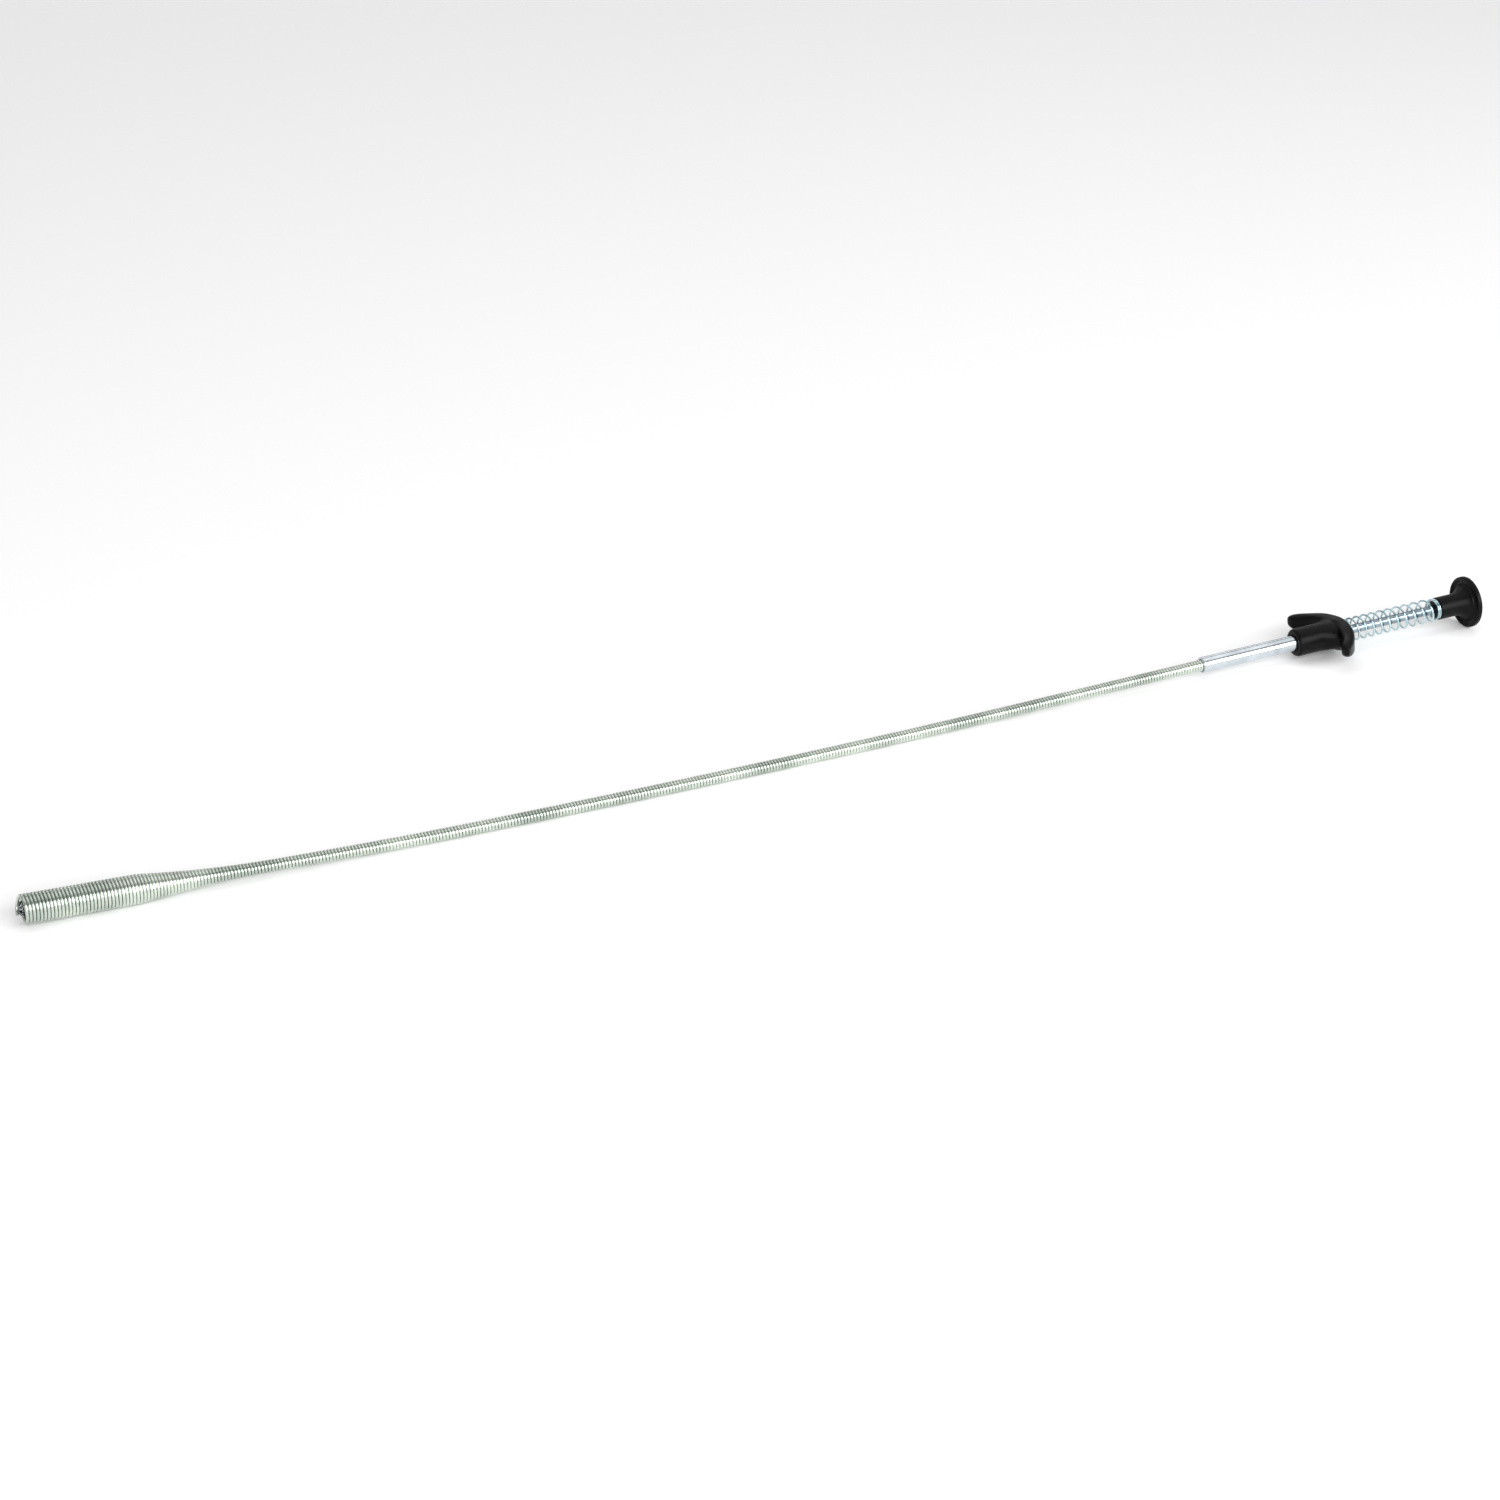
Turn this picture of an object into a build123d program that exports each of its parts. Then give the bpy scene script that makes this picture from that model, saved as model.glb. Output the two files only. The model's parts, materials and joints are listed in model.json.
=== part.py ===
from build123d import *
import os
from math import cos, pi, radians, sin, sqrt, tan

# Push-button drain auger: a closed-wound spring shaft with four spring-wire claws hidden in its
# wide head. Pressing the knob against the finger grip slides the rod, the cable and the claws.
# Row frame: +X from the head to the knob, +Z up, Z = 0 is the table that the tool lies on.

# ---- driving dimensions, millimetres and degrees ----
overall_length = 609.6

shaft_wire = 1.25          # the shaft and the head are wound from one wire
head_od = 10.9
head_length = 42.0         # straight part of the head
flare_length = 55.0        # taper from the head down to the shaft
head_lift = 1.7            # the mouth rides up a little, because the shaft is stiff
head_yaw = -0.3
head_offset_y = -4.2       # where the back of the head lies beside the handle's line

rod_od = 3.6
rod_neck_step = 0.4        # radial
rod_neck_length = 6.0
stroke = 25.0

tube_wall = 0.75
tube_stickout = 43.4       # from the tube's mouth to the grip
shaft_tail = 10.0          # length of the spring shaft hidden in the guide tube
handle_tilt = 2.0          # the big knob lifts the back of the handle off the table
handle_roll = 4.1          # the bowed shaft holds the handle from rolling onto a wing

grip_wall = 2.5
grip_length = 23.9
grip_rear_wall = 4.6
barrel_edge_radius = 1.1
wing_outer_radius = 26.6
wing_sweep = 57.6          # degrees from the axis to a wing's tip
wing_root_depth = 7.1      # front to back on the axis
wing_tip_depth = 3.8
wing_root_height = 13.4
wing_tip_height = 4.7
wing_rise = 0.6            # tips above the axis
wing_end_share = 0.09      # share of the sweep over which a wing's end rounds off
neck_length = 6.0          # where the barrel widens into the wings

spring_wire = 0.8
spring_od = 9.9
spring_active_turns = 10.5
spring_seat_turns = 2.0    # closed turns in the grip's seat
spring_cap_turns = 1.5     # closed turns against the knob's stem
spring_length = 45.6       # installed length with the knob released
spring_seat_depth = 0.7

stem_od = 9.3
stem_length = 8.0
spigot_length = 1.2
knob_od = 21.1
knob_rim = 2.2
knob_crown = 0.5           # how far the thumb face stands out behind the rim
knob_flat_od = 12.0        # flat middle of the thumb face
knob_bell_od = 14.2
knob_bell_length = 5.6
rod_in_knob = 14.0         # how deep the rod is pressed into the knob, from the spigot's end

collar_length = 3.5
crimp_wall = 0.8
crimp_length = 12.0
cable_od = 1.2
cable_in_crimp = 5.0

ferrule_od = 4.4
ferrule_length = 10.0
cable_in_ferrule = 4.0
claw_count = 4
claw_wire = 0.9
claw_circle = 1.3          # radius on which the four roots sit
claw_recess = 1.0          # tips this far inside the mouth with the knob released
claw_length = 27.0

rod_tube_gap = 0.65        # radial, rod in the guide tube
running_clearance = 0.1    # radial: rod in the grip's back wall, collar and shaft in the tube
seat_clearance = 0.3       # radial, return spring in the grip's seat
spigot_clearance = 0.55    # radial, knob's spigot in the return spring
cable_clearance = 0.03     # radial, cable in the claw ferrule
root_clearance = 0.17      # radial, ball root of a claw in its pocket
claw_head_gap = 1.1        # between a claw's bow and the head's bore
stop_gap = 0.05            # between faces of different bodies that meet at rest

# Diameters that follow from what they fit
tube_id = rod_od + 2 * rod_tube_gap
tube_od = tube_id + 2 * tube_wall
barrel_od = tube_od + 2 * grip_wall
shaft_od = tube_id - 2 * running_clearance
shaft_id = shaft_od - 2 * shaft_wire
head_id = head_od - 2 * shaft_wire
collar_od = tube_id - 2 * running_clearance
rod_neck_od = rod_od - 2 * rod_neck_step
crimp_od = rod_neck_od + 2 * crimp_wall
spigot_od = spring_od - 2 * (spring_wire + spigot_clearance)

# Places along the handle, measured back from the tube's mouth
grip_front = tube_stickout
grip_rear = grip_front + grip_length
tube_end = grip_rear - grip_rear_wall
spring_front = grip_rear - spring_seat_depth
shoulder = spring_front + spring_length + stop_gap
spigot_start = shoulder - spigot_length
knob_front = shoulder + stem_length
knob_face = knob_front + knob_bell_length + knob_rim + knob_crown
rim_middle = knob_face - knob_crown - knob_rim / 2
crimp_front = shaft_tail + stroke + 2.0
rod_front = crimp_front + crimp_length - rod_neck_length
wing_arc_centre = grip_rear - wing_outer_radius
wing_tip_x = wing_arc_centre + (wing_outer_radius - wing_tip_depth / 2) * cos(radians(wing_sweep))

# ---- how the tool lies: knob rim, bowed shaft and back of the head meet Z = 0 ----
mouth_z = knob_od / 2 * cos(radians(handle_tilt)) - rim_middle * sin(radians(handle_tilt))
mouth_x = overall_length / 2 - knob_face * cos(radians(handle_tilt))

handle_axis = Vector(cos(radians(handle_tilt)), 0, sin(radians(handle_tilt)))
handle_side = Vector(0, cos(radians(handle_roll)), -sin(radians(handle_roll)))
handle_plane = Plane((mouth_x, 0, mouth_z), x_dir=handle_axis, z_dir=handle_axis.cross(handle_side))

head_axis = Vector(
    cos(radians(head_yaw)) * cos(radians(head_lift)),
    sin(radians(head_yaw)) * cos(radians(head_lift)),
    -sin(radians(head_lift)),
)
head_back_x = -overall_length / 2 + head_length * head_axis.X
head_back = Vector(head_back_x, head_offset_y, head_od / 2 * cos(radians(head_lift)))
head_mouth = head_back - head_axis * head_length
head_side = Vector(0, 0, 1).cross(head_axis).normalized()
head_plane = Plane(head_mouth, x_dir=head_axis, z_dir=head_axis.cross(head_side))


def on_handle(x):
    return handle_plane.origin + handle_axis * x


def in_head(x):
    return head_mouth + head_axis * x


# ---- route of the spring shaft, from inside the guide tube to the flare ----
shaft_bends = [
    Vector(128.0, 0.0, mouth_z - (mouth_x - 128.0) * tan(radians(handle_tilt))),
    Vector(70.0, -1.0, 2.84),
    Vector(12.0, -2.8, 2.42),
    Vector(-48.0, -4.3, 2.42),
    Vector(-108.0, -4.9, 2.50),
    in_head(head_length + flare_length + 42.0),
]
shaft_start = on_handle(shaft_tail)
shaft_end = in_head(head_length + flare_length)


def arc_radii(points):
    """Largest tangent arc at each corner that leaves a tenth of its shorter run straight."""
    radii = []
    for before, corner, after in zip(points, points[1:], points[2:]):
        turn = radians((corner - before).get_angle(after - corner))
        shorter = min((corner - before).length, (after - corner).length)
        radii.append(0.45 * shorter / tan(turn / 2))
    return radii


shaft_points = [shaft_start] + shaft_bends + [shaft_end]
shaft_radii = arc_radii(shaft_points)


def swept_disc(path, outer, inner=0.0):
    section = Circle(outer / 2) - Circle(inner / 2) if inner else Circle(outer / 2)
    start = Plane(path @ 0, z_dir=path % 0)
    return sweep(start * section, path=path)


def round_bar(start, length, outer):
    bar = Cylinder(outer / 2, length, align=(Align.CENTER, Align.CENTER, Align.MIN))
    return Pos(start, 0, 0) * Rot(0, 90, 0) * bar


def ring(start, length, outer, inner):
    body = round_bar(start, length, outer)
    if inner:
        body -= round_bar(start, length, inner)
    return body


def make_coil_shaft():
    path = FilletPolyline(*shaft_points, radius=shaft_radii)
    tube = swept_disc(path, shaft_od, shaft_id)
    section_area = pi / 4 * (shaft_od ** 2 - shaft_id ** 2)
    print("shaft arc radii", [round(r) for r in shaft_radii])
    print(f"shaft length {path.length:.2f}, volume {tube.volume:.2f}, expected {section_area * path.length:.2f}")
    return tube


def make_coil_head():
    """Straight head and its taper, open at both ends."""
    wall = (head_od - head_id) / 2
    thin = shaft_od / 2
    x1, x2 = head_length, head_length + flare_length
    taper = (0.16, 0.42, 0.70)
    drop = (0.30, 0.70, 0.91)
    outer = [(x1 + flare_length * t, head_od / 2 - (head_od / 2 - thin) * d) for t, d in zip(taper, drop)]
    inner = [(x, r - wall) for x, r in outer]
    outer_line = Polyline((0, head_od / 2), (x1, head_od / 2)) + Spline(
        (x1, head_od / 2), *outer, (x2, thin), tangents=[(1, 0), (1, 0)])
    inner_line = Polyline((0, head_id / 2), (x1, head_id / 2)) + Spline(
        (x1, head_id / 2), *inner, (x2, shaft_id / 2), tangents=[(1, 0), (1, 0)])
    ends = Line((0, head_id / 2), (0, head_od / 2)) + Line((x2, shaft_id / 2), (x2, thin))
    return head_plane.location * revolve(make_face(outer_line + inner_line + ends), Axis.X)


def make_guide_tube():
    tube = ring(0, tube_end, tube_od, tube_id)
    tube = fillet(tube.edges().group_by(Axis.X)[0], 0.25)
    return handle_plane.location * tube


def wing_section(share):
    """Rounded cross-section of the wings at a share (-1 to 1) of their sweep from the axis."""
    angle, side = radians(share * wing_sweep), abs(share)
    depth = wing_root_depth + (wing_tip_depth - wing_root_depth) * side
    height = wing_root_height + (wing_tip_height - wing_root_height) * side ** 1.44
    from_end = (1 - side) / wing_end_share
    if from_end < 1:
        rounding = sqrt(1 - (1 - from_end) ** 2 * 0.75)
        depth, height = depth * rounding, height * rounding
    outward = Vector(cos(angle), sin(angle), 0)
    origin = Vector(wing_arc_centre, 0, wing_rise * side ** 2) + outward * (wing_outer_radius - depth / 2)
    section = RectangleRounded(depth, height, 0.40 * min(depth, height))
    return Plane(origin, x_dir=outward, z_dir=(-sin(angle), cos(angle), 0)) * section


def make_finger_grip():
    """Barrel with two swept-forward finger wings, bored for the tube and the rod."""
    end = 1 - wing_end_share
    shares = [-1, -(1 + end) / 2, -end, -0.75, -0.5, -0.25, 0, 0.25, 0.5, 0.75, end, (1 + end) / 2, 1]
    wings = loft([wing_section(share) for share in shares])
    barrel = ring(grip_front, grip_length - wing_root_depth / 2, barrel_od, 0)
    barrel = fillet(barrel.edges().group_by(Axis.X)[0], barrel_edge_radius)
    neck_start = grip_rear - wing_root_depth - neck_length
    saddle = loft([
        Plane((neck_start, 0, 0), x_dir=(0, 1, 0), z_dir=(1, 0, 0)) * Ellipse(barrel_od / 2, barrel_od / 2),
        Plane((neck_start + 0.6 * neck_length, 0, 0), x_dir=(0, 1, 0), z_dir=(1, 0, 0))
        * Ellipse(0.62 * barrel_od, 0.505 * barrel_od),
        Plane((neck_start + 1.3 * neck_length, 0, 0), x_dir=(0, 1, 0), z_dir=(1, 0, 0))
        * Ellipse(1.05 * barrel_od, 0.52 * barrel_od),
    ])
    grip = barrel + wings + saddle
    grip -= ring(grip_front, tube_end - grip_front, tube_od, 0)
    grip -= ring(tube_end, grip_length, rod_od + 2 * running_clearance, 0)
    grip -= ring(grip_rear - spring_seat_depth, grip_length, spring_od + 2 * seat_clearance, 0)
    return handle_plane.location * grip


def make_return_spring():
    """Open compression spring with closed turns at both ends."""
    radius = (spring_od - spring_wire) / 2
    closed_pitch = spring_wire + 0.05
    seat_part = closed_pitch * spring_seat_turns
    cap_part = closed_pitch * spring_cap_turns
    open_length = spring_length - spring_wire - seat_part - cap_part
    open_pitch = open_length / spring_active_turns
    pieces = []
    turns_done, start = 0.0, spring_front + spring_wire / 2
    for pitch, length in ((closed_pitch, seat_part), (open_pitch, open_length), (closed_pitch, cap_part)):
        coil = Helix(pitch, length, radius)
        wire = sweep(Plane(coil @ 0, z_dir=coil % 0) * Circle(spring_wire / 2), path=coil, is_frenet=True)
        pieces.append(Pos(0, 0, start) * Rot(0, 0, 360 * turns_done) * wire)
        turns_done += length / pitch
        start += length
        joint = radians(360 * turns_done)
        pieces.append(Pos(radius * cos(joint), radius * sin(joint), start) * Sphere(spring_wire / 2))
    spring = Part() + pieces
    return handle_plane.location * (Rot(0, 90, 0) * spring)


def make_plunger_rod():
    rod_start = rod_front + rod_neck_length
    rod = ring(rod_start, spigot_start + rod_in_knob - rod_start, rod_od, 0)
    rod = chamfer(rod.edges().group_by(Axis.X)[-1], 0.4)
    return handle_plane.location * (rod + ring(rod_front, rod_neck_length, rod_neck_od, 0))


def make_thumb_knob():
    """Spigot, stem, bell and rimmed thumb disc, bored for the rod."""
    stem, bell, disc = stem_od / 2, knob_bell_od / 2, knob_od / 2
    bell_end = knob_front + knob_bell_length
    rim = knob_rim / 2
    outline = Polyline(
        (spigot_start, 0), (spigot_start, spigot_od / 2 - 0.5), (spigot_start + 0.5, spigot_od / 2),
        (shoulder, spigot_od / 2), (shoulder, stem - 0.4), (shoulder + 0.4, stem), (knob_front, stem))
    outline += Spline(
        (knob_front, stem), (knob_front + 0.42 * knob_bell_length, stem + 0.24 * (bell - stem)),
        (knob_front + 0.80 * knob_bell_length, stem + 0.72 * (bell - stem)), (bell_end - 0.2, bell),
        tangents=[(1, 0), (0.5, 1)])
    outline += Spline((bell_end - 0.2, bell), (bell_end + 0.45, bell + 1.0), (bell_end + 0.1, disc - 1.0),
                      tangents=[(0.5, 1), (-0.5, 1)])
    outline += ThreePointArc((bell_end + 0.1, disc - 1.0), (bell_end + rim, disc), (bell_end + 2 * rim, disc - 0.9))
    outline += Spline((bell_end + 2 * rim, disc - 0.9), (knob_face, knob_flat_od / 2), tangents=[(0.4, -1), (0, -1)])
    outline += Polyline((knob_face, knob_flat_od / 2), (knob_face, 0), (spigot_start, 0))
    knob = revolve(make_face(outline), Axis.X)
    knob -= ring(spigot_start, rod_in_knob, rod_od, 0)
    return handle_plane.location * knob


def make_rod_stop_collar():
    collar = ring(tube_end - stop_gap - collar_length, collar_length, collar_od, rod_od)
    return handle_plane.location * collar


def make_cable_crimp():
    sleeve = ring(crimp_front, crimp_length, crimp_od, 0)
    sleeve -= ring(rod_front, rod_neck_length, rod_neck_od, 0)
    sleeve -= ring(crimp_front, crimp_length, cable_od, 0)
    return handle_plane.location * sleeve


ferrule_front = claw_recess + claw_length
ferrule_back = ferrule_front + ferrule_length


def make_inner_cable():
    points = [on_handle(crimp_front + cable_in_crimp)] + shaft_bends + [in_head(ferrule_back - cable_in_ferrule)]
    return swept_disc(FilletPolyline(*points, radius=shaft_radii), cable_od)


def claw_angle(index):
    return 360 * (index + 0.5) / claw_count


def make_claw_ferrule():
    ferrule = ring(ferrule_front, ferrule_length, ferrule_od, 0)
    ferrule = chamfer(ferrule.edges().group_by(Axis.X)[-1], 0.4)
    ferrule -= ring(ferrule_back - cable_in_ferrule, cable_in_ferrule, cable_od + 2 * cable_clearance, 0)
    for index in range(claw_count):
        pocket = Pos(ferrule_front, 0, claw_circle) * Sphere(claw_wire / 2 + root_clearance)
        ferrule -= Rot(claw_angle(index), 0, 0) * pocket
    return head_plane.location * ferrule


def make_claw_finger(index):
    """Bowed spring-wire finger with a ball root and an inward hook, modelled pointing up."""
    bow = head_id / 2 - claw_head_gap - claw_wire / 2
    reach = ((0.0, claw_circle), (13.0, 0.95), (21.5, 1.70), (claw_length - 1.0, bow), (claw_length, 1.45))
    points = [Vector(ferrule_front - forward, 0, radius) for forward, radius in reach]
    path = FilletPolyline(*points, radius=[12.0, 8.0, 0.7])
    finger = swept_disc(path, claw_wire)
    finger += Pos(points[0]) * Sphere(claw_wire / 2)
    finger += Pos(points[-1]) * Sphere(claw_wire / 2)
    return head_plane.location * (Rot(claw_angle(index), 0, 0) * finger)


parts = {
    "finger_grip": make_finger_grip(),
    "guide_tube": make_guide_tube(),
    "coil_shaft": make_coil_shaft(),
    "coil_head": make_coil_head(),
    "return_spring": make_return_spring(),
    "plunger_rod": make_plunger_rod(),
    "thumb_knob": make_thumb_knob(),
    "rod_stop_collar": make_rod_stop_collar(),
    "cable_crimp": make_cable_crimp(),
    "inner_cable": make_inner_cable(),
    "claw_ferrule": make_claw_ferrule(),
}
for index in range(claw_count):
    parts[f"claw_finger_{index + 1}"] = make_claw_finger(index)

os.makedirs("parts", exist_ok=True)
for name, solid in parts.items():
    solid.label = name
    export_step(solid, f"parts/{name}.step")
print(f"tube mouth at x {mouth_x:.2f}, z {mouth_z:.2f}")
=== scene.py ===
import json
from math import cos, exp, pi, radians, sin

import bmesh
import bpy
from mathutils import Matrix, Vector
from mathutils.kdtree import KDTree


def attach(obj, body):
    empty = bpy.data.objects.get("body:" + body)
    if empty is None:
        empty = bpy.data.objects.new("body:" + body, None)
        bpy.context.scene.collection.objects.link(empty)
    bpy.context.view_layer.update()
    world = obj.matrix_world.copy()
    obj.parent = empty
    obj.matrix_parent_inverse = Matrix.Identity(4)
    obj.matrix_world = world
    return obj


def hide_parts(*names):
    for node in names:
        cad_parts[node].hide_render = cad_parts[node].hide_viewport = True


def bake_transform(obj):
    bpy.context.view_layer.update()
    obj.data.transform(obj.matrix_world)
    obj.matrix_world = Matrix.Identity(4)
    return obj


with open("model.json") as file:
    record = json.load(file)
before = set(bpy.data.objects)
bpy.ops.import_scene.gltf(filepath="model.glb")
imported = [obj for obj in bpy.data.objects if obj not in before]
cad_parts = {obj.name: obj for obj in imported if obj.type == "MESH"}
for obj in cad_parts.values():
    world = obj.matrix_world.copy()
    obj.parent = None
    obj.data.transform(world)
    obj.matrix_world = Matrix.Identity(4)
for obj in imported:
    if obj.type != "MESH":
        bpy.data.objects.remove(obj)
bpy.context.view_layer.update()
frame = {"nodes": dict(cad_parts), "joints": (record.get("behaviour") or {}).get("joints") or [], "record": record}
mm = 0.001
nodes = frame["nodes"]
joints = {joint["name"]: joint for joint in frame["joints"]}
mounts = {mount["name"]: mount for mount in frame["record"]["mounts"]}

# Lengths and stations in mm; those of the handle are counted back from the tube's mouth. The axes and
# the two mouths come from the frame's joints and mounts.
tool = {"clawsToMouth": 28.0, "headLength": 42.0, "flareLength": 55.0, "shaftTail": 10.0,
        "tubeEnd": 62.7, "springStart": 66.6, "shoulder": 112.25, "spigotStart": 111.05,
        "knobFront": 120.25, "rodFront": 43.0, "rodInKnob": 14.0}
handleAxis = -Vector(joints["plunger_slide"]["axis"])          # towards the knob
headAxis = -Vector(joints["claw_slide"]["axis"])               # from the mouth towards the shaft
clip = mounts["tube_clip"]
tubeMouth = Vector(clip["pos_m"]) - handleAxis * clip["dims"]["length_mm"] * mm / 2
splays = [joint for name, joint in joints.items() if name.startswith("claw_splay")]
ferruleFront = sum((Vector(joint["pos_m"]) for joint in splays), Vector()) / len(splays)
headMouth = ferruleFront - headAxis * tool["clawsToMouth"] * mm


def onHandle(distance):
    return tubeMouth + handleAxis * distance * mm


def inHead(distance):
    return headMouth + headAxis * distance * mm


def srgb(code):
    parts = [int(code[i:i + 2], 16) / 255 for i in (1, 3, 5)]
    linear = [p / 12.92 if p <= 0.04045 else ((p + 0.055) / 1.055) ** 2.4 for p in parts]
    return (*linear, 1.0)


def grey(value):
    return (value, value, value, 1.0)


def addNode(material, kind, settings=None, links=None):
    # settings go to an input, to a colour ramp's stops or to the node itself
    # links are {input: (node, output)}
    node = material.node_tree.nodes.new(kind)
    for key, value in (settings or {}).items():
        if key == "stops":
            elements = node.color_ramp.elements
            elements[0].position, elements[0].color = value[0]
            elements[1].position, elements[1].color = value[-1]
            for place, colour in value[1:-1]:
                elements.new(place).color = colour
        elif key in node.inputs:
            node.inputs[key].default_value = value
        else:
            setattr(node, key, value)
    for key, (source, output) in (links or {}).items():
        material.node_tree.links.new(source.outputs[output], node.inputs[key])
    return node


def newMaterial(name):
    material = bpy.data.materials.new(name)
    material.use_nodes = True
    material.node_tree.nodes.clear()
    return material


def platedSteel(name, look):
    # zinc plate over steel: a bright metal with cloudy patches where the passivation is thicker,
    # and fine lines along the wire or tube from drawing it
    # shares of the roughness, and the texture's depth as a share of its grain
    smoothest, roughest, grainDepth = 0.8, 1.25, 0.1
    material = newMaterial(name)
    place = addNode(material, "ShaderNodeTexCoord")
    along = addNode(material, "ShaderNodeMapping", {"Scale": (look["stretch"], 1.0, 1.0)},
                    {"Vector": (place, "Object")})
    cloud = addNode(material, "ShaderNodeTexNoise", {"Scale": 1 / (look["cloud"] * mm), "Detail": 3.0},
                    {"Vector": (place, "Object")})
    grain = addNode(material, "ShaderNodeTexNoise", {"Scale": 1 / (look["grain"] * mm), "Detail": 4.0},
                    {"Vector": (along, "Vector")})
    colour = addNode(material, "ShaderNodeValToRGB",
                     {"stops": [(0.35, srgb(look["dark"])), (0.65, srgb(look["light"]))]},
                     {"Fac": (cloud, "Fac")})
    rough = addNode(material, "ShaderNodeValToRGB",
                    {"stops": [(0.3, grey(look["roughness"] * smoothest)),
                               (0.7, grey(look["roughness"] * roughest))]},
                    {"Fac": (grain, "Fac")})
    bump = addNode(material, "ShaderNodeBump",
                   {"Strength": look["bump"], "Distance": look["grain"] * mm * grainDepth},
                   {"Height": (grain, "Fac")})
    shader = addNode(material, "ShaderNodeBsdfPrincipled", {"Metallic": 1.0},
                     {"Base Color": (colour, "Color"), "Roughness": (rough, "Color"),
                      "Normal": (bump, "Normal")})
    addNode(material, "ShaderNodeOutputMaterial", links={"Surface": (shader, "BSDF")})
    return material


def mouldedPlastic(name, look):
    # black polypropylene from a spark-eroded mould: satin, with a fine even texture
    # what is taken off and added to the roughness, and the texture's depth as a share of its grain
    polish, dulling, grainDepth = 0.04, 0.06, 0.15
    material = newMaterial(name)
    place = addNode(material, "ShaderNodeTexCoord")
    grain = addNode(material, "ShaderNodeTexNoise", {"Scale": 1 / (look["grain"] * mm), "Detail": 2.0},
                    {"Vector": (place, "Object")})
    wear = addNode(material, "ShaderNodeTexNoise", {"Scale": 1 / (look["wear"] * mm), "Detail": 4.0},
                   {"Vector": (place, "Object")})
    colour = addNode(material, "ShaderNodeValToRGB",
                     {"stops": [(0.3, srgb(look["dark"])), (0.75, srgb(look["light"]))]},
                     {"Fac": (wear, "Fac")})
    rough = addNode(material, "ShaderNodeValToRGB",
                    {"stops": [(0.3, grey(look["roughness"] - polish)),
                               (0.7, grey(look["roughness"] + dulling))]},
                    {"Fac": (wear, "Fac")})
    bump = addNode(material, "ShaderNodeBump",
                   {"Strength": look["bump"], "Distance": look["grain"] * mm * grainDepth},
                   {"Height": (grain, "Fac")})
    shader = addNode(material, "ShaderNodeBsdfPrincipled", {"IOR": 1.49, "Specular IOR Level": look["sheen"]},
                     {"Base Color": (colour, "Color"), "Roughness": (rough, "Color"),
                      "Normal": (bump, "Normal")})
    addNode(material, "ShaderNodeOutputMaterial", links={"Surface": (shader, "BSDF")})
    return material


# bright zinc on coiled wire, slightly green from its passivation
shaftZinc = platedSteel("zincPlatedSpringWire", {
    "dark": "#BBC4BB", "light": "#DDE4DB", "cloud": 14.0, "grain": 0.3, "stretch": 1.0,
    "roughness": 0.24, "bump": 0.2})
# the same plate on smooth drawn tube, whiter and with lines along it
tubeZinc = platedSteel("brightZincTube", {
    "dark": "#BCC4CA", "light": "#DCE3E8", "cloud": 9.0, "grain": 0.2, "stretch": 0.06,
    "roughness": 0.13, "bump": 0.1})
# blue passivation gives the return spring a cold tint
springZinc = platedSteel("bluePassivatedSpringWire", {
    "dark": "#A8C2CA", "light": "#D5EAEF", "cloud": 5.0, "grain": 0.2, "stretch": 1.0,
    "roughness": 0.22, "bump": 0.12})
# painted reflection: the rod's colours are darkened to stand in for the dark surroundings it mirrors
rodZincPaintedReflection = platedSteel("zincRodPaintedDarkReflection", {
    "dark": "#73858F", "light": "#9DADB6", "cloud": 6.0, "grain": 0.2, "stretch": 0.06,
    "roughness": 0.2, "bump": 0.1})
# bare spring wire; its darker colour than the plated parts is painted shade for the inside of the head's mouth
clawSteelPaintedShade = platedSteel("polishedClawWirePaintedShade", {
    "dark": "#5A5E61", "light": "#83888B", "cloud": 4.0, "grain": 0.2, "stretch": 1.0,
    "roughness": 0.24, "bump": 0.15})
# turned and crimped mild steel, dull from handling
smallSteel = platedSteel("turnedSteel", {
    "dark": "#7E8286", "light": "#AEB2B5", "cloud": 3.0, "grain": 0.2, "stretch": 1.0,
    "roughness": 0.36, "bump": 0.3})
blackPlastic = mouldedPlastic("mouldedBlackPolypropylene", {
    "dark": "#070708", "light": "#0C0C0E", "grain": 0.22, "wear": 6.0, "roughness": 0.34, "bump": 0.22,
    "sheen": 0.11})
print("materials ready")

# Camera: degrees, then mm; what it looks at is the target
view = {"azimuth": -25.23, "elevation": 25.46, "distance": 1356.5, "target": (-22.36, 0.0, 9.06),
        "lens": 86.4, "sensor": 36.0, "nearest": 20.0, "furthest": 30000.0}
turn, rise = radians(view["azimuth"]), radians(view["elevation"])
away = Vector((sin(turn) * cos(rise), -cos(turn) * cos(rise), sin(rise)))
camera = bpy.data.objects.new("camera", bpy.data.cameras.new("camera"))
bpy.context.collection.objects.link(camera)
camera.data.lens = view["lens"]
camera.data.sensor_width = view["sensor"]
camera.data.clip_start, camera.data.clip_end = view["nearest"] * mm, view["furthest"] * mm
camera.location = Vector(view["target"]) * mm + away * view["distance"] * mm
camera.rotation_euler = (-away).to_track_quat("-Z", "Y").to_euler()
bpy.context.scene.camera = camera

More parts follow.
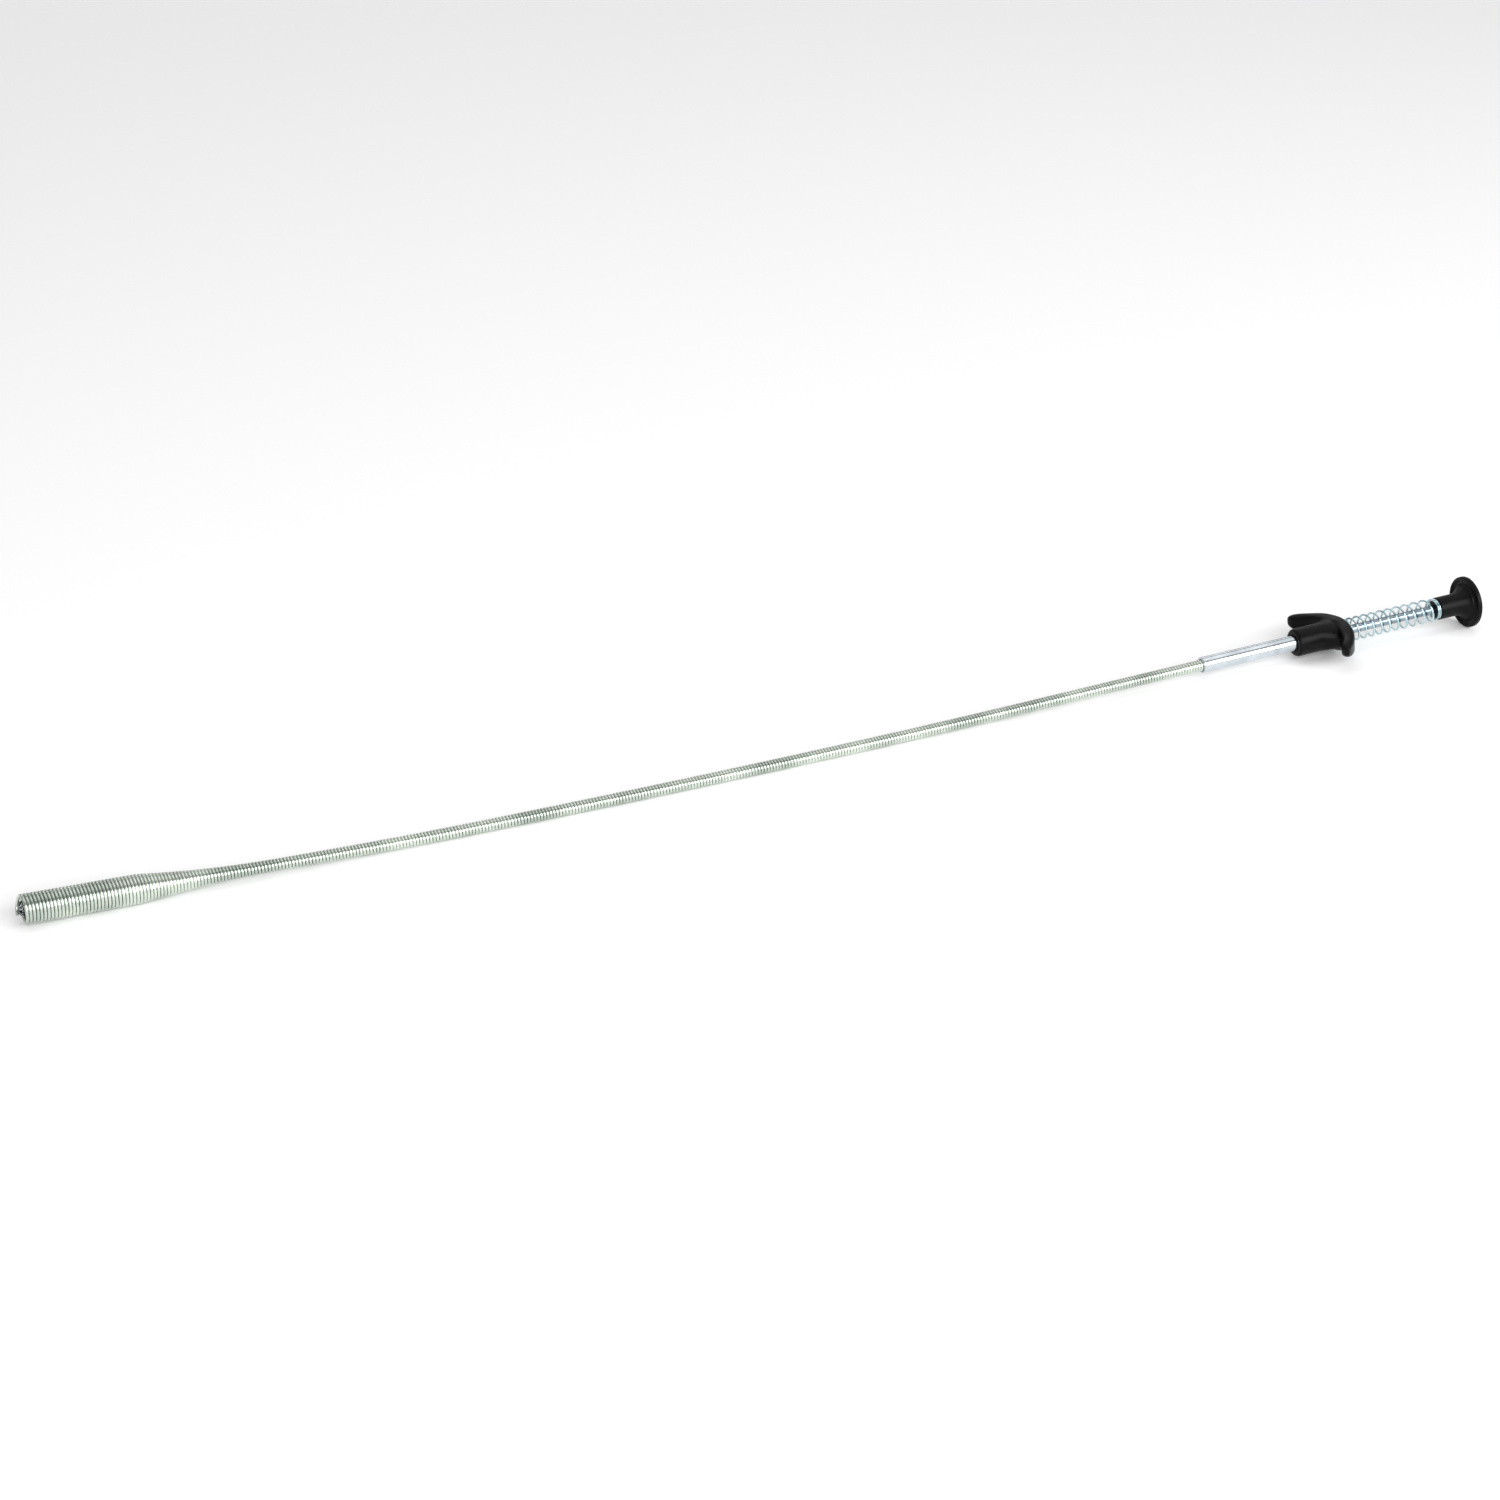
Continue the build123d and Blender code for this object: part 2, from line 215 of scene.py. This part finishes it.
# A large softbox in front and a weaker panel overhead. The dark gap between the two, and the one between
# the softbox and the floor, draw the lines along the round metal. The third panel only whitens the far floor.
# Places and sizes are in metres, power in watts.
studio = {
    "front": {"place": (0.3, -1.5, 0.8), "aim": (0.05, 0, 0), "width": 3.4, "height": 1.2, "power": 60.0},
    "overhead": {"place": (0, 0.3, 1.6), "aim": (0, 0.3, 0), "width": 2.8, "height": 1.6, "power": 12.0},
    "far": {"place": (0.6, 2.9, 1.7), "aim": (0.6, 2.8, 0), "width": 3.4, "height": 1.6, "power": 24.0},
}
room = {"skyStrength": 0.32, "floorReach": 4.0}    # the floor reaches so many metres from the middle
for name, lamp in studio.items():
    light = bpy.data.lights.new(name, "AREA")
    light.shape, light.energy = "RECTANGLE", lamp["power"]
    light.size, light.size_y = lamp["width"], lamp["height"]
    holder = bpy.data.objects.new(name, light)
    bpy.context.collection.objects.link(holder)
    holder.location = lamp["place"]
    toAim = Vector(lamp["aim"]) - Vector(lamp["place"])
    holder.rotation_euler = toAim.to_track_quat("-Z", "Y").to_euler()

world = bpy.data.worlds.new("studio")
bpy.context.scene.world = world
world.use_nodes = True
world.node_tree.nodes["Background"].inputs["Color"].default_value = grey(1.0)
world.node_tree.nodes["Background"].inputs["Strength"].default_value = room["skyStrength"]
bpy.context.scene.view_settings.view_transform = "Standard"

floorMesh = bmesh.new()
bmesh.ops.create_grid(floorMesh, x_segments=1, y_segments=1, size=room["floorReach"])
floorData = bpy.data.meshes.new("floor")
floorMesh.to_mesh(floorData)
floorMesh.free()
floor = bpy.data.objects.new("floor", floorData)
bpy.context.collection.objects.link(floor)
paper = newMaterial("matteWhitePaper")
paperShader = addNode(paper, "ShaderNodeBsdfPrincipled", {"Base Color": srgb("#F6F6F6"), "Roughness": 0.9})
addNode(paper, "ShaderNodeOutputMaterial", links={"Surface": (paperShader, "BSDF")})
floorData.materials.append(paper)
print("camera, light and floor ready")


def meshFrom(holder):
    bpy.context.view_layer.update()
    mesh = bpy.data.meshes.new_from_object(holder.evaluated_get(bpy.context.evaluated_depsgraph_get()))
    bpy.data.objects.remove(holder)
    return mesh


def curveObject(name, kind, points):
    data = bpy.data.curves.new(name, "CURVE")
    data.dimensions = "3D"
    spline = data.splines.new(kind)
    spline.points.add(len(points) - 1)
    for knot, point in zip(spline.points, points):
        knot.co = (*point, 1.0)
    holder = bpy.data.objects.new(name, data)
    bpy.context.collection.objects.link(holder)
    return holder


def sampleCurve(points, resolution=24):
    # the smooth line of a spline with these control points
    holder = curveObject("route", "NURBS", points)
    spline = holder.data.splines[0]
    spline.order_u = 3
    spline.use_endpoint_u = True
    spline.resolution_u = resolution
    line = [v.co.copy() for v in meshFrom(holder).vertices]
    if (line[0] - Vector(points[0])).length > (line[-1] - Vector(points[0])).length:
        line.reverse()
    return line


def wirePiece(name, points, wire, sides, material):
    holder = curveObject(name, "POLY", points)
    holder.data.bevel_depth = wire / 2
    holder.data.bevel_resolution = sides // 2 - 2
    holder.data.use_fill_caps = True
    mesh = meshFrom(holder)
    mesh.polygons.foreach_set("use_smooth", [True] * len(mesh.polygons))
    mesh.materials.append(material)
    piece = bpy.data.objects.new(name, mesh)
    bpy.context.collection.objects.link(piece)
    return piece


class Line:
    # a polyline that can be asked for its point and direction at any length along it
    def __init__(self, points):
        self.points = points
        self.marks = [0.0]
        for a, b in zip(points, points[1:]):
            self.marks.append(self.marks[-1] + (b - a).length)
        self.length = self.marks[-1]
        self.at = 0

    def place(self, distance):
        while self.at < len(self.points) - 2 and self.marks[self.at + 1] < distance:
            self.at += 1
        while self.at > 0 and self.marks[self.at] > distance:
            self.at -= 1
        a, b = self.points[self.at], self.points[self.at + 1]
        direction = (b - a).normalized()
        return a + direction * (distance - self.marks[self.at]), direction


def windRight(line, places, perTurn, phase):
    # right-handed winding: places are (distance along the line, coil radius) at each step, in metres
    points = []
    for step, (distance, radius) in enumerate(places):
        middle, direction = line.place(distance)
        across = direction.cross(Vector((0, 0, 1))).normalized()
        up = across.cross(direction)
        angle = 2 * pi * (step / perTurn + phase)
        points.append(middle + across * radius * cos(angle) - up * radius * sin(angle))
    return points


# Spring shaft and head, wound from one wire
coil = {"wire": 1.25, "pitch": 1.27, "sides": 8}
head = {"od": 10.9, "perTurn": 36, "endTurn": 0.15, "openGap": 1.1, "curl": 0.9, "curlTurns": 0.36,
        "overrun": 5.0}
# the taper: how softly it leaves the shaft (power) and meets the straight head (corner), and which part
# of it has closer turns
flare = {"power": 2.15, "corner": 0.03, "closer": 0.985, "closerFrom": 0.05, "closerTo": 0.8}
shaft = {"od": 4.7, "perTurn": 20, "length": 0.3943, "straightX": 0.128, "straightBehindHead": 42.0}
headEnd = tool["headLength"] + tool["flareLength"]
flareEnd = tool["flareLength"]
# a straight lead out of the tube, the bow that rests on the table, and a straight lead into the head
shaftRoute = [
    onHandle(tool["shaftTail"]),
    Vector((shaft["straightX"], 0.0,
            tubeMouth.z - (tubeMouth.x - shaft["straightX"]) * handleAxis.z / handleAxis.x)),
    Vector((0.070, -0.0010, 0.00284)),
    Vector((0.012, -0.0028, 0.00242)),
    Vector((-0.048, -0.0043, 0.00242)),
    Vector((-0.108, -0.0049, 0.00250)),
    inHead(headEnd + shaft["straightBehindHead"]),
    inHead(headEnd),
]
shaftLine = Line(sampleCurve(shaftRoute))
shaftRadius = (shaft["od"] - coil["wire"]) / 2 * mm
headRadius = (head["od"] - coil["wire"]) / 2 * mm
headLine = Line([inHead(headEnd), inHead(0), inHead(-head["overrun"])])

headPlaces = []
distance = 0.0
while distance < headEnd - coil["wire"] / 2 - head["openGap"]:
    radius, advance = headRadius, coil["pitch"]
    if distance < flareEnd:
        share = (flareEnd - distance) / flareEnd    # 0 where the straight head begins, 1 at the shaft
        share = min(share * share / (share + flare["corner"]) * (1 + flare["corner"]), 1.0)
        radius -= (headRadius - shaftRadius) * (1 - (1 - share) ** flare["power"])
        advance *= flare["closer"] if flare["closerFrom"] < share < flare["closerTo"] else 1.0
    headPlaces.append((distance * mm, radius))
    distance += advance / head["perTurn"]
# the wire's last part leans open from the top, over the far side, to its end low in the mouth,
# where it is curled slightly in
steps = len(headPlaces) - 1
headPhase = head["endTurn"] - steps / head["perTurn"]
for step in range(round(steps - (head["endTurn"] + 0.25) * head["perTurn"]), steps + 1):
    height = sin(2 * pi * (step / head["perTurn"] + headPhase) + pi)
    lean = head["openGap"] * (1 - height) / 2
    curl = head["curl"] * max(0.0, 1 - (steps - step) / (head["curlTurns"] * head["perTurn"])) ** 1.5
    headPlaces[step] = (headPlaces[step][0] + lean * mm, headPlaces[step][1] - curl * mm)
coilHead = wirePiece("coilHead", windRight(headLine, headPlaces, head["perTurn"], headPhase),
                     coil["wire"] * mm, coil["sides"], shaftZinc)
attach(coilHead, "handle")
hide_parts("coil_head")
print("head wound:", round(steps / head["perTurn"]), "turns,", len(coilHead.data.polygons), "faces")

shaftStep = coil["pitch"] * mm / shaft["perTurn"]
shaftSteps = int(shaftLine.length / shaftStep)
shaftPlaces = [(shaftLine.length - (shaftSteps - i) * shaftStep, shaftRadius) for i in range(shaftSteps + 1)]
coilShaft = wirePiece("coilShaft", windRight(shaftLine, shaftPlaces, shaft["perTurn"],
                                             headPhase - shaftSteps / shaft["perTurn"]),
                      coil["wire"] * mm, coil["sides"], shaftZinc)
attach(coilShaft, "handle")
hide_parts("coil_shaft")
print("spring shaft wound:", round(shaftSteps / shaft["perTurn"]), "turns,",
      len(coilShaft.data.polygons), "faces")

# Return spring: closed turns at both ends, and a pitch that grows towards the knob, where it narrows
spring = {"wire": 0.8, "od": 9.9, "endOd": 9.0, "length": 45.6, "seatTurns": 2.0, "activeTurns": 10.5,
          "capTurns": 1.5, "closedPitch": 0.85, "firstPitch": 3.40, "lastPitch": 4.57, "phase": 0.1,
          "narrowFrom": 0.9, "perTurn": 40, "sides": 12}
springLine = Line([onHandle(tool["springStart"]), onHandle(tool["springStart"] + spring["length"])])
springSteps = round((spring["seatTurns"] + spring["activeTurns"] + spring["capTurns"]) * spring["perTurn"])
springPlaces, springShares = [], []
for step in range(springSteps + 1):
    count = step / spring["perTurn"]
    active = min(max(count - spring["seatTurns"], 0.0), spring["activeTurns"])
    share = active / spring["activeTurns"]
    pastActive = count - spring["seatTurns"] - spring["activeTurns"]
    closed = min(count, spring["seatTurns"]) + max(pastActive, 0.0)
    along = closed * spring["closedPitch"] + active * spring["firstPitch"]
    along += (spring["lastPitch"] - spring["firstPitch"]) * active * share / 2
    narrow = min(max(pastActive + spring["narrowFrom"], 0.0), 1.0)
    outer = spring["od"] + (spring["endOd"] - spring["od"]) * narrow * narrow
    springPlaces.append(((spring["wire"] / 2 + along) * mm, (outer - spring["wire"]) / 2 * mm))
    springShares.append(share)
springPoints = windRight(springLine, springPlaces, spring["perTurn"], spring["phase"])
returnSpring = wirePiece("returnSpring", springPoints, spring["wire"] * mm, spring["sides"], springZinc)
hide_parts("return_spring")
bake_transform(returnSpring)
# each ring of the wire gets one weight, the share of the active turns at its nearest centre point
springTree = KDTree(len(springPoints))
for index, point in enumerate(springPoints):
    springTree.insert(point, index)
springTree.balance()
springWeights = [springShares[springTree.find(vertex.co)[1]] for vertex in returnSpring.data.vertices]
print("return spring wound:", len(returnSpring.data.polygons), "faces, ends at mm",
      round(springPlaces[-1][0] / mm, 2))


def turned(name, outline, steps, material):
    # a solid of revolution about the handle's axis; the outline is (mm behind the tube's mouth, radius in mm)
    sharpEdge = 35    # degrees between faces
    work = bmesh.new()
    verts = [work.verts.new((x, 0.0, r)) for x, r in outline]
    edges = [work.edges.new(pair) for pair in zip(verts, verts[1:])]
    if outline[0][1] > 0:
        edges.append(work.edges.new((verts[-1], verts[0])))
    bmesh.ops.spin(work, geom=verts + edges, cent=(0, 0, 0), axis=(1, 0, 0), angle=2 * pi, steps=steps,
                   use_merge=True)
    bmesh.ops.remove_doubles(work, verts=work.verts, dist=1e-4)
    bmesh.ops.recalc_face_normals(work, faces=work.faces)
    side = Vector((0, 0, 1)).cross(handleAxis).normalized()
    axes = Matrix((handleAxis, side, handleAxis.cross(side))).transposed().to_4x4()
    work.transform(Matrix.Translation(tubeMouth) @ axes @ Matrix.Scale(mm, 4))
    mesh = bpy.data.meshes.new(name)
    work.to_mesh(mesh)
    work.free()
    mesh.polygons.foreach_set("use_smooth", [True] * len(mesh.polygons))
    mesh.set_sharp_from_angle(angle=radians(sharpEdge))
    mesh.materials.append(material)
    piece = bpy.data.objects.new(name, mesh)
    bpy.context.collection.objects.link(piece)
    return piece


def smoothRun(points):
    # a stretch of outline that runs smoothly between its first and last points
    return [(p.x, p.z) for p in sampleCurve([(x, 0.0, r) for x, r in points], 8)]


# Guide tube with a rolled-over mouth edge
tube = {"outer": 3.2, "inner": 2.45, "edge": 0.3, "steps": 96}
tubeOutline = smoothRun([(tube["edge"], tube["inner"]), (0, tube["inner"]),
                         (0, (tube["inner"] + tube["outer"]) / 2),
                         (0, tube["outer"]), (tube["edge"], tube["outer"])])
tubeOutline += [(tool["tubeEnd"], tube["outer"]), (tool["tubeEnd"], tube["inner"])]
guideTube = turned("guideTube", tubeOutline, tube["steps"], tubeZinc)
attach(guideTube, "handle")
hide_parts("guide_tube")
print("guide tube:", len(guideTube.data.polygons), "faces")

# Plunger rod, with its neck in the crimp and its back end pressed into the knob
rod = {"radius": 1.8, "neck": 1.4, "neckLength": 6.0, "bevel": 0.4, "steps": 64}
rodBack = tool["spigotStart"] + tool["rodInKnob"]
neckEnd = tool["rodFront"] + rod["neckLength"]
rodOutline = [(tool["rodFront"], 0), (tool["rodFront"], rod["neck"]), (neckEnd, rod["neck"]),
              (neckEnd, rod["radius"]), (rodBack - rod["bevel"], rod["radius"]),
              (rodBack, rod["radius"] - rod["bevel"]), (rodBack, 0)]
# the rod's material has its dark reflection painted into its colour
plungerRod = turned("plungerRod", rodOutline, rod["steps"], rodZincPaintedReflection)
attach(plungerRod, "plunger")
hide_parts("plunger_rod")

# Thumb knob: spigot in the spring, plain stem, flared bell and a dished disc with a rounded rim
knob = {"stem": 4.65, "spigot": 3.6, "bell": 7.1, "bellLength": 5.6, "rim": 10.55, "face": 128.55,
        "flat": 6.0, "bore": 1.8, "edge": 0.5, "onAxis": 0.001, "steps": 128}
bellStart, bellEnd = tool["knobFront"], tool["knobFront"] + knob["bellLength"]
knobOutline = [(tool["spigotStart"], knob["bore"]), (tool["spigotStart"], knob["spigot"] - knob["edge"]),
               (tool["spigotStart"] + knob["edge"], knob["spigot"]), (tool["shoulder"], knob["spigot"])]
knobOutline += smoothRun([(tool["shoulder"], knob["stem"] - knob["edge"]), (tool["shoulder"], knob["stem"]),
                          (tool["shoulder"] + knob["edge"], knob["stem"])])
# the bell, the groove at its end, the rounded rim and the dished face
knobOutline += smoothRun([(bellStart - 1.0, knob["stem"]), (bellStart + 1.8, knob["stem"]),
                          (bellStart + 3.9, 5.8), (bellEnd - 0.5, 6.75), (bellEnd - 0.3, knob["bell"])])
knobOutline += smoothRun([(bellEnd - 0.1, knob["bell"] + 0.1), (bellEnd + 0.75, 7.6), (bellEnd + 0.75, 8.9),
                          (bellEnd + 0.15, 9.35)])
knobOutline += smoothRun([(bellEnd + 0.05, 9.55), (bellEnd + 0.1, knob["rim"]), (bellEnd + 1.2, knob["rim"]),
                          (bellEnd + 2.1, knob["rim"]), (bellEnd + 2.2, 9.7)])
knobOutline += smoothRun([(bellEnd + 2.22, 9.6), (bellEnd + 2.6, 8.2), (knob["face"], 7.2),
                          (knob["face"], knob["flat"])])
knobOutline += [(knob["face"], knob["onAxis"]), (rodBack, knob["onAxis"]), (rodBack, knob["bore"])]
thumbKnob = turned("thumbKnob", knobOutline, knob["steps"], blackPlastic)
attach(thumbKnob, "plunger")
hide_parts("thumb_knob")
print("rod and knob turned:", len(thumbKnob.data.polygons), "faces")

# Finger grip: the CAD solid with the soft blends of a moulding, hollowed under the roots of the wings
grip = {"voxel": 0.32, "smoothing": 14, "roll": 4.1, "hollow": 0.38, "hollowPlace": 11.0, "hollowWidth": 4.2,
        "hollowFront": 13.0, "hollowFade": 6.0}
fingerGrip = bpy.data.objects.new("fingerGripWork", nodes["finger_grip"].data.copy())
bpy.context.collection.objects.link(fingerGrip)
weld = bmesh.new()
weld.from_mesh(fingerGrip.data)
bmesh.ops.remove_doubles(weld, verts=weld.verts, dist=1e-6)
weld.to_mesh(fingerGrip.data)
weld.free()
remesh = fingerGrip.modifiers.new("remesh", "REMESH")
remesh.mode, remesh.voxel_size = "VOXEL", grip["voxel"] * mm
soften = fingerGrip.modifiers.new("soften", "SMOOTH")
soften.factor, soften.iterations = 0.5, grip["smoothing"]
gripMesh = meshFrom(fingerGrip)
level = Vector((0, 0, 1)).cross(handleAxis).normalized()
gripSide = Matrix.Rotation(-radians(grip["roll"]), 3, handleAxis) @ level
gripUp = handleAxis.cross(gripSide)
for vertex in gripMesh.vertices:
    place = (vertex.co - tubeMouth) / mm
    beside, above, back = abs(place.dot(gripSide)), place.dot(gripUp), place.dot(handleAxis)
    if above < 0:
        share = exp(-((beside - grip["hollowPlace"]) / grip["hollowWidth"]) ** 2)
        share *= min(max((back - tool["tubeEnd"] + grip["hollowFront"]) / grip["hollowFade"], 0.0), 1.0)
        vertex.co -= gripUp * above * grip["hollow"] * share * mm
gripMesh.polygons.foreach_set("use_smooth", [True] * len(gripMesh.polygons))
gripMesh.materials.clear()
gripMesh.materials.append(blackPlastic)
fingerGrip = bpy.data.objects.new("fingerGrip", gripMesh)
bpy.context.collection.objects.link(fingerGrip)
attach(fingerGrip, "handle")
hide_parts("finger_grip")
print("grip moulded:", len(gripMesh.polygons), "faces")

# Inner cable in three lengths, because its ends slide and its middle follows the bow of the shaft.
# Rear and middle start at places on the handle, and the middle ends in the head, where the front begins.
cable = {"wire": 1.2, "sides": 12, "rear": (26, 42), "middle": (-1, 62), "bowFrom": -2, "front": (61, 34)}
routeMiddle = [p for p in shaftLine.points if p.x < onHandle(cable["bowFrom"]).x]
cableRuns = {
    "cableRear": ("plunger", [onHandle(place) for place in cable["rear"]]),
    "cableMiddle": ("handle", [onHandle(cable["middle"][0])] + routeMiddle + [inHead(cable["middle"][1])]),
    "cableFront": ("claw_carrier", [inHead(place) for place in cable["front"]]),
}
for name, (body, points) in cableRuns.items():
    run = wirePiece(name, points, cable["wire"] * mm, cable["sides"], smallSteel)
    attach(run, body)
    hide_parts("inner_cable")
print("cable laid")

# The collar, the crimp, the ferrule and the claws are shown as their CAD shapes
asModelled = {"rod_stop_collar": smallSteel, "cable_crimp": smallSteel, "claw_ferrule": smallSteel}
# the claws take the wire whose colour is darkened as painted shade
asModelled.update({f"claw_finger_{index + 1}": clawSteelPaintedShade for index in range(4)})
for name, material in asModelled.items():
    nodes[name].data.materials.clear()
    nodes[name].data.materials.append(material)
